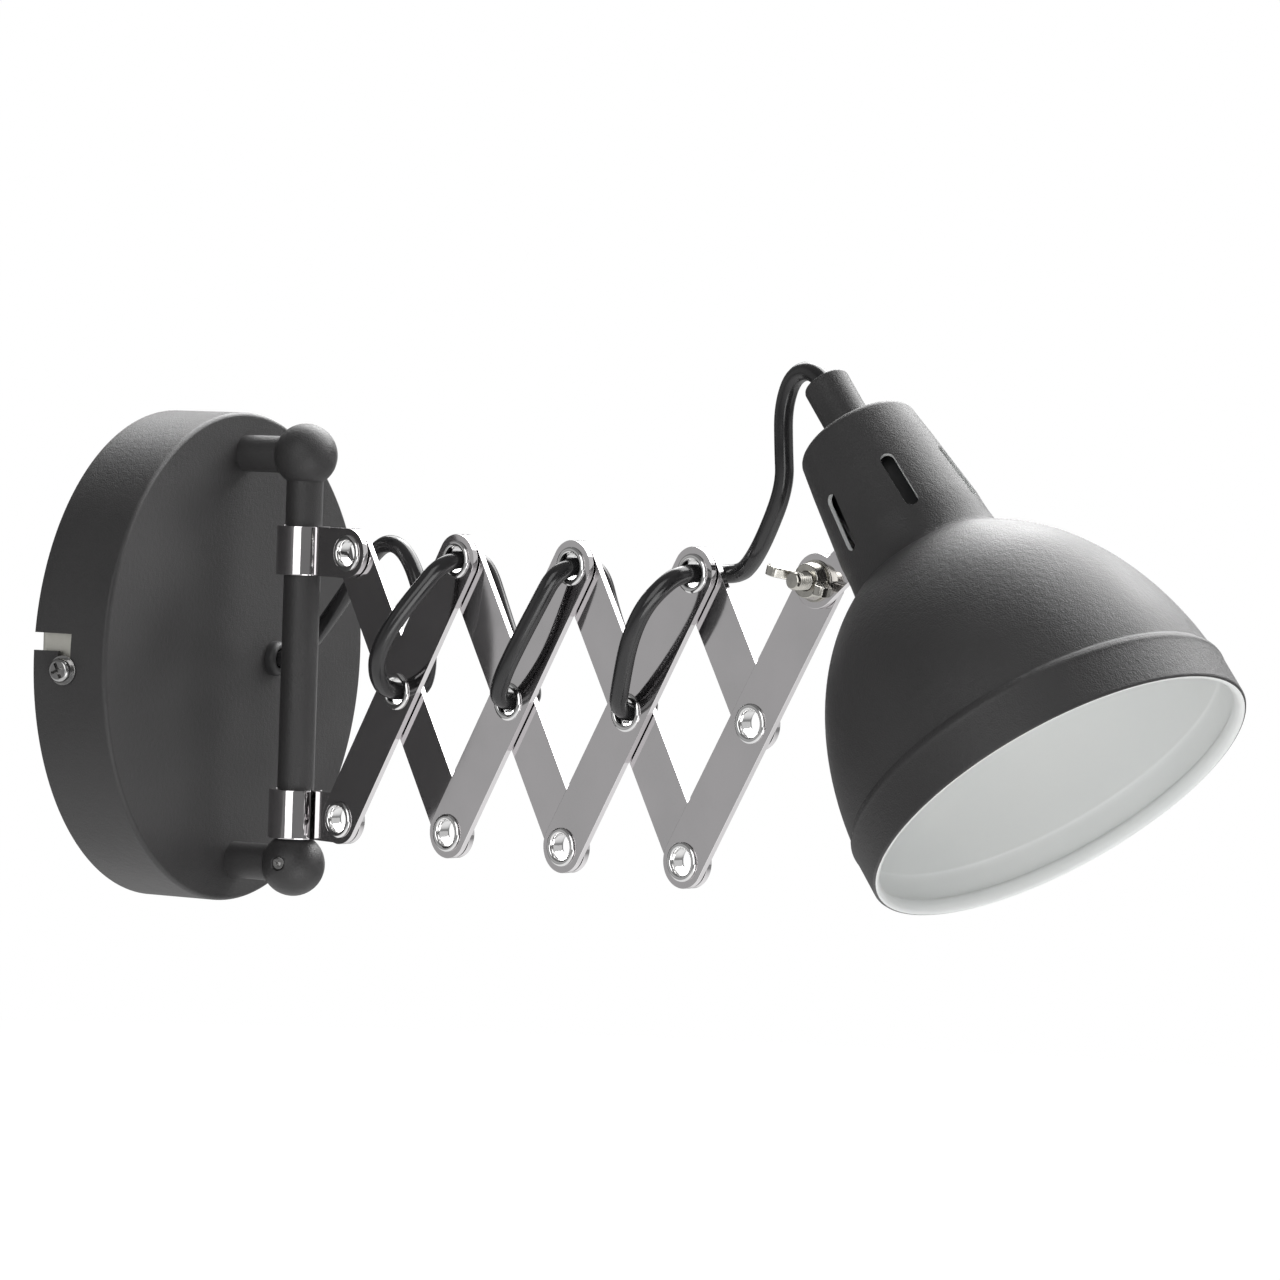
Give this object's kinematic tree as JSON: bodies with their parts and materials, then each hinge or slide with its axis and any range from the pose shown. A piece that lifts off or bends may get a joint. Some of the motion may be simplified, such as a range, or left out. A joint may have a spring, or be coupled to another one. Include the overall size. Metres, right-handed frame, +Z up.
{
  "type": "wall spotlight",
  "caption": "Wall spotlight: a round canopy and swivel rod carry a scissor arm of riveted strips, with a bell shade on a friction hinge.",
  "frame": {"origin": "on the wall, at the middle of the canopy and of the bracket", "axes": "+Z up, -Y out from the wall, +X to the right of a person who faces the wall"},
  "size_m": [0.184, 0.3001, 0.1342],
  "materials": {
    "black_coat": "fine-textured matte anthracite powder coat, white satin inside the shade",
    "zinc": "pale zinc-plated steel",
    "steel": "plain plated steel",
    "black_plastic": "matte black nylon",
    "white_plastic": "matte white thermoplastic",
    "chrome": "polished chrome plate",
    "rivet_chrome": "polished chrome plate on rolled brass",
    "nickel": "satin nickel plate",
    "brass": "plain brass",
    "cable": "black sheath with a soft sheen"
  },
  "bodies": {
    "wall_stand": {"wall_bracket": "zinc", "canopy": "black_coat", "lock_screws": "steel", "lock_washers": "steel", "post_screws": "steel", "post_washers": "steel", "posts": "black_coat", "balls": "black_coat", "rod": "black_coat", "grub_screw": "steel", "cable_bush": "black_plastic", "bush_nut": "black_plastic", "terminal_block": "white_plastic", "terminal_screws": "steel", "earth_screw": "steel", "cable_end": "cable", "cable_feed_wall": "cable"},
    "swivel": {"lower_collar": "chrome", "lower_collar_rivet": "rivet_chrome"},
    "front_1": {"front_strip_1": "chrome", "front_rivets_1": "rivet_chrome", "cable_loop_1": "cable", "cable_feed_arm": "cable"},
    "back_1": {"back_strip_1": "chrome", "back_rivet_1": "rivet_chrome"},
    "slider": {"upper_collar": "chrome", "upper_collar_rivet": "rivet_chrome"},
    "back_2": {"back_strip_2": "chrome", "back_rivet_2": "rivet_chrome", "cable_link_1": "cable"},
    "front_2": {"front_strip_2": "chrome", "front_rivets_2": "rivet_chrome", "cable_loop_2": "cable"},
    "back_3": {"back_strip_3": "chrome", "back_rivet_3": "rivet_chrome", "cable_link_2": "cable"},
    "front_3": {"front_strip_3": "chrome", "front_rivets_3": "rivet_chrome", "cable_loop_3": "cable"},
    "back_4": {"back_strip_4": "chrome", "cable_tail_arm": "cable"},
    "front_4": {"front_strip_4": "chrome", "front_rivet_4": "rivet_chrome", "tilt_bolt": "nickel"},
    "head": {"head_lug": "chrome", "tilt_washer": "nickel", "neck_cap": "black_coat", "shade": "black_coat", "cord_grip": "black_coat", "nipple": "nickel", "lamp_holder": "white_plastic", "screw_shell": "brass", "centre_contact": "brass", "shade_ring": "white_plastic", "cable_tail_head": "cable"},
    "wing_nut": {"wing_nut": "nickel"}
  },
  "joints": [
    {"name": "swivel_turn", "type": "hinge", "parent": "wall_stand", "child": "swivel", "pos_m": [0, -0.037, 0], "axis": [0, 0, 1], "range_deg": [-56.5, 93.5], "deforming": ["cable_feed_wall"]},
    {"name": "extend", "type": "hinge", "parent": "swivel", "child": "front_1", "pos_m": [-0.00571, -0.05407, -0.03746], "axis": [0.9483, -0.3173, 0], "range_deg": [-16, 34], "deforming": ["cable_feed_arm"]},
    {"name": "cross_1", "type": "hinge", "parent": "front_1", "child": "back_1", "pos_m": [-0.01184, -0.07239, -0.00532], "axis": [0.9483, -0.3173, 0], "range_deg": [-68, 32]},
    {"name": "slider_tilt", "type": "hinge", "parent": "back_1", "child": "slider", "pos_m": [-0.00571, -0.05407, 0.02683], "axis": [0.9483, -0.3173, 0], "range_deg": [-16, 34]},
    {"name": "top_1", "type": "hinge", "parent": "front_1", "child": "back_2", "pos_m": [-0.01797, -0.0907, 0.02683], "axis": [0.9483, -0.3173, 0], "range_deg": [-68, 32]},
    {"name": "cross_2", "type": "hinge", "parent": "back_2", "child": "front_2", "pos_m": [-0.0241, -0.10902, -0.00532], "axis": [0.9483, -0.3173, 0], "range_deg": [-32, 68]},
    {"name": "top_2", "type": "hinge", "parent": "front_2", "child": "back_3", "pos_m": [-0.03022, -0.12733, 0.02683], "axis": [0.9483, -0.3173, 0], "range_deg": [-68, 32]},
    {"name": "cross_3", "type": "hinge", "parent": "back_3", "child": "front_3", "pos_m": [-0.03635, -0.14565, -0.00532], "axis": [0.9483, -0.3173, 0], "range_deg": [-32, 68]},
    {"name": "top_3", "type": "hinge", "parent": "front_3", "child": "back_4", "pos_m": [-0.04248, -0.16396, 0.02683], "axis": [0.9483, -0.3173, 0], "range_deg": [-68, 32]},
    {"name": "cross_4", "type": "hinge", "parent": "back_4", "child": "front_4", "pos_m": [-0.04861, -0.18228, -0.00532], "axis": [0.9483, -0.3173, 0], "range_deg": [-32, 68], "deforming": ["cable_tail_arm"]},
    {"name": "head_tilt", "type": "hinge", "parent": "front_4", "child": "head", "pos_m": [-0.05474, -0.2006, 0.02683], "axis": [-0.9483, 0.3173, 0], "range_deg": [-30, 45], "deforming": ["cable_tail_head"]},
    {"name": "wing_nut_turn", "type": "hinge", "parent": "front_4", "child": "wing_nut", "pos_m": [-0.05474, -0.2006, 0.02683], "axis": [-0.9483, 0.3173, 0], "continuous": true}
  ],
  "couplings": [
    {"joint": "cross_1", "follows": "extend", "ratio": -2},
    {"joint": "slider_tilt", "follows": "extend", "ratio": 1},
    {"joint": "top_1", "follows": "extend", "ratio": -2},
    {"joint": "cross_2", "follows": "extend", "ratio": 2},
    {"joint": "top_2", "follows": "extend", "ratio": -2},
    {"joint": "cross_3", "follows": "extend", "ratio": 2},
    {"joint": "top_3", "follows": "extend", "ratio": -2},
    {"joint": "cross_4", "follows": "extend", "ratio": 2}
  ]
}
